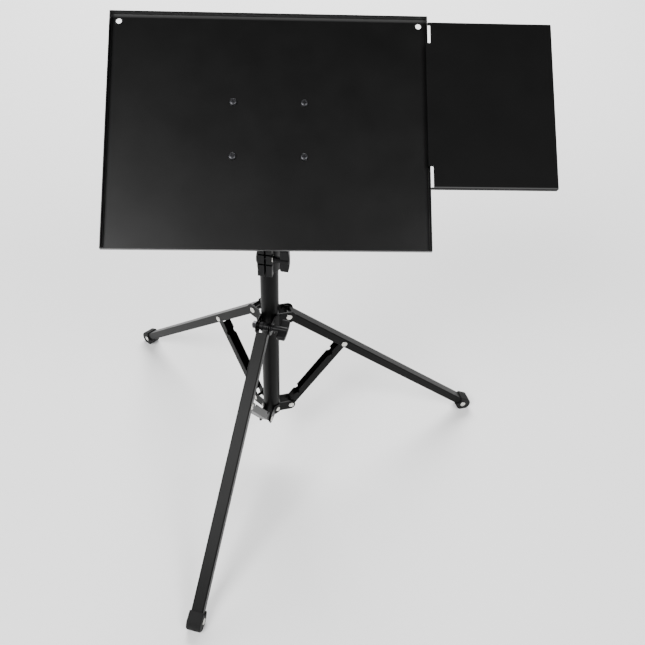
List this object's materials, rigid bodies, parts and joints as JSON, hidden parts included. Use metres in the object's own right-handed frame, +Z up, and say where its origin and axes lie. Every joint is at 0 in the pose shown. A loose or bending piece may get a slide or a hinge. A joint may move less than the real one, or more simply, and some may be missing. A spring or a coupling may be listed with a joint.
{
  "type": "music stand",
  "caption": "Folding music stand: shallow steel tray with a lift-off side shelf, tilting and swivelling on a telescopic mast with a tripod of braced legs.",
  "frame": {"origin": "centre of the bounding box's base, on the floor under the stand; the mast's axis stands beside it", "axes": "+Z up along the mast, +X to the reader's right, +Y away from the reader"},
  "size_m": [0.5968, 0.604, 0.6755],
  "materials": {
    "tube_powder_coat": "satin black powder coat",
    "tray_powder_coat": "fine matt black powder coat",
    "black_nylon": "moulded black nylon",
    "shoe_rubber": "matt",
    "nickel_plate": "bright nickel plate",
    "black_zinc": "black zinc"
  },
  "bodies": {
    "mast_body": {"outer_tube": "tube_powder_coat", "tube_end_plug": "black_nylon", "hub_plate_1": "tube_powder_coat", "hub_plate_2": "tube_powder_coat", "hub_plate_3": "tube_powder_coat", "hub_tube_rivets": "nickel_plate", "hub_brace_rivets": "nickel_plate", "collar_clamp": "black_nylon", "collar_nut": "black_zinc", "collar_washer": "nickel_plate"},
    "collar_screw": {"collar_knob": "black_nylon", "collar_bolt": "black_zinc"},
    "front_brace": {"brace_front": "tube_powder_coat"},
    "right_brace": {"brace_right": "tube_powder_coat"},
    "left_brace": {"brace_left": "tube_powder_coat"},
    "front_leg": {"leg_front": "tube_powder_coat", "shoe_front": "shoe_rubber", "shoe_rivet_front": "nickel_plate", "brace_rivet_front": "nickel_plate", "leg_spacer": "black_nylon", "leg_shims": "black_nylon"},
    "right_leg": {"leg_right": "tube_powder_coat", "shoe_right": "shoe_rubber", "shoe_rivet_right": "nickel_plate", "brace_rivet_right": "nickel_plate"},
    "left_leg": {"leg_left": "tube_powder_coat", "shoe_left": "shoe_rubber", "shoe_rivet_left": "nickel_plate", "brace_rivet_left": "nickel_plate"},
    "crown": {"crown_plate_1": "tube_powder_coat", "crown_plate_2": "tube_powder_coat", "crown_plate_3": "tube_powder_coat", "crown_pivot_rivets": "nickel_plate", "crown_washers": "black_zinc", "crown_nut": "black_zinc"},
    "crown_screw": {"crown_knob": "black_nylon", "crown_bolt": "black_zinc"},
    "post": {"inner_post": "tube_powder_coat", "post_bush": "black_nylon"},
    "head": {"head_socket": "black_nylon", "head_screw": "black_nylon"},
    "tray": {"mount_plate": "tube_powder_coat", "tilt_bracket": "tube_powder_coat", "tilt_washers": "black_zinc", "tilt_nut": "black_zinc", "tray_pan": "tray_powder_coat", "tray_screws": "black_zinc", "tray_nuts": "black_zinc"},
    "tilt_screw": {"tilt_knob": "black_nylon", "tilt_bolt": "black_zinc"},
    "shelf": {"side_shelf": "tray_powder_coat"}
  },
  "joints": [
    {"name": "front_brace_fold", "type": "hinge", "parent": "mast_body", "child": "front_brace", "pos_m": [-0.05574, 0.01096, 0.0872], "axis": [-0.9598, 0.2807, 0], "range_deg": [0, 29.5]},
    {"name": "front_leg_fold", "type": "hinge", "parent": "front_brace", "child": "front_leg", "pos_m": [-0.0792, -0.06924, 0.20149], "axis": [0.9598, -0.2807, 0], "range_deg": [0, 69.67]},
    {"name": "right_brace_fold", "type": "hinge", "parent": "mast_body", "child": "right_brace", "pos_m": [-0.01799, 0.04704, 0.0872], "axis": [0.2368, -0.9715, 0], "range_deg": [0, 29.55]},
    {"name": "right_leg_fold", "type": "hinge", "parent": "right_brace", "child": "right_leg", "pos_m": [0.06319, 0.06683, 0.20149], "axis": [-0.2368, 0.9715, 0], "range_deg": [0, 69.67]},
    {"name": "left_brace_fold", "type": "hinge", "parent": "mast_body", "child": "left_brace", "pos_m": [-0.06811, 0.0617, 0.0872], "axis": [0.723, 0.6909, 0], "range_deg": [0, 29.55]},
    {"name": "left_leg_fold", "type": "hinge", "parent": "left_brace", "child": "left_leg", "pos_m": [-0.12584, 0.12211, 0.20149], "axis": [-0.723, -0.6909, 0], "range_deg": [0, 69.67]},
    {"name": "crown_level", "type": "hinge", "parent": "front_leg", "child": "crown", "pos_m": [-0.05458, 0.01494, 0.2754], "axis": [-0.9598, 0.2807, 0], "range_deg": [0, 40.17]},
    {"name": "crown_knob_turn", "type": "hinge", "parent": "crown", "child": "crown_screw", "pos_m": [-0.05458, 0.01494, 0.2754], "axis": [0.9598, -0.2807, 0], "range_deg": [-180, 180]},
    {"name": "collar_knob_turn", "type": "hinge", "parent": "mast_body", "child": "collar_screw", "pos_m": [-0.05083, 0.02164, 0.3915], "axis": [0.9816, -0.1908, 0], "range_deg": [-180, 180]},
    {"name": "post_slide", "type": "slide", "parent": "mast_body", "child": "post", "axis": [0, 0, 1], "range_m": [-0.08, 0.12]},
    {"name": "head_swivel", "type": "hinge", "parent": "post", "child": "head", "pos_m": [-0.04728, 0.0399, 0.505], "axis": [0, 0, 1], "continuous": true},
    {"name": "tray_tilt", "type": "hinge", "parent": "head", "child": "tray", "pos_m": [-0.04728, 0.0399, 0.5553], "axis": [1, 0, 0], "range_deg": [-40, 35]},
    {"name": "tilt_knob_turn", "type": "hinge", "parent": "tray", "child": "tilt_screw", "pos_m": [-0.04728, 0.0399, 0.5553], "axis": [1, 0, 0], "range_deg": [-180, 180]},
    {"name": "shelf_lift", "type": "slide", "parent": "tray", "child": "shelf", "axis": [0, -0.6428, 0.766], "range_m": [0, 0.05]}
  ],
  "couplings": [
    {"joint": "front_leg_fold", "follows": "front_brace_fold", "ratio": 2.36},
    {"joint": "right_brace_fold", "follows": "front_brace_fold", "ratio": 1},
    {"joint": "right_leg_fold", "follows": "front_brace_fold", "ratio": 2.36},
    {"joint": "left_brace_fold", "follows": "front_brace_fold", "ratio": 1},
    {"joint": "left_leg_fold", "follows": "front_brace_fold", "ratio": 2.36},
    {"joint": "crown_level", "follows": "front_brace_fold", "ratio": 1.36}
  ]
}
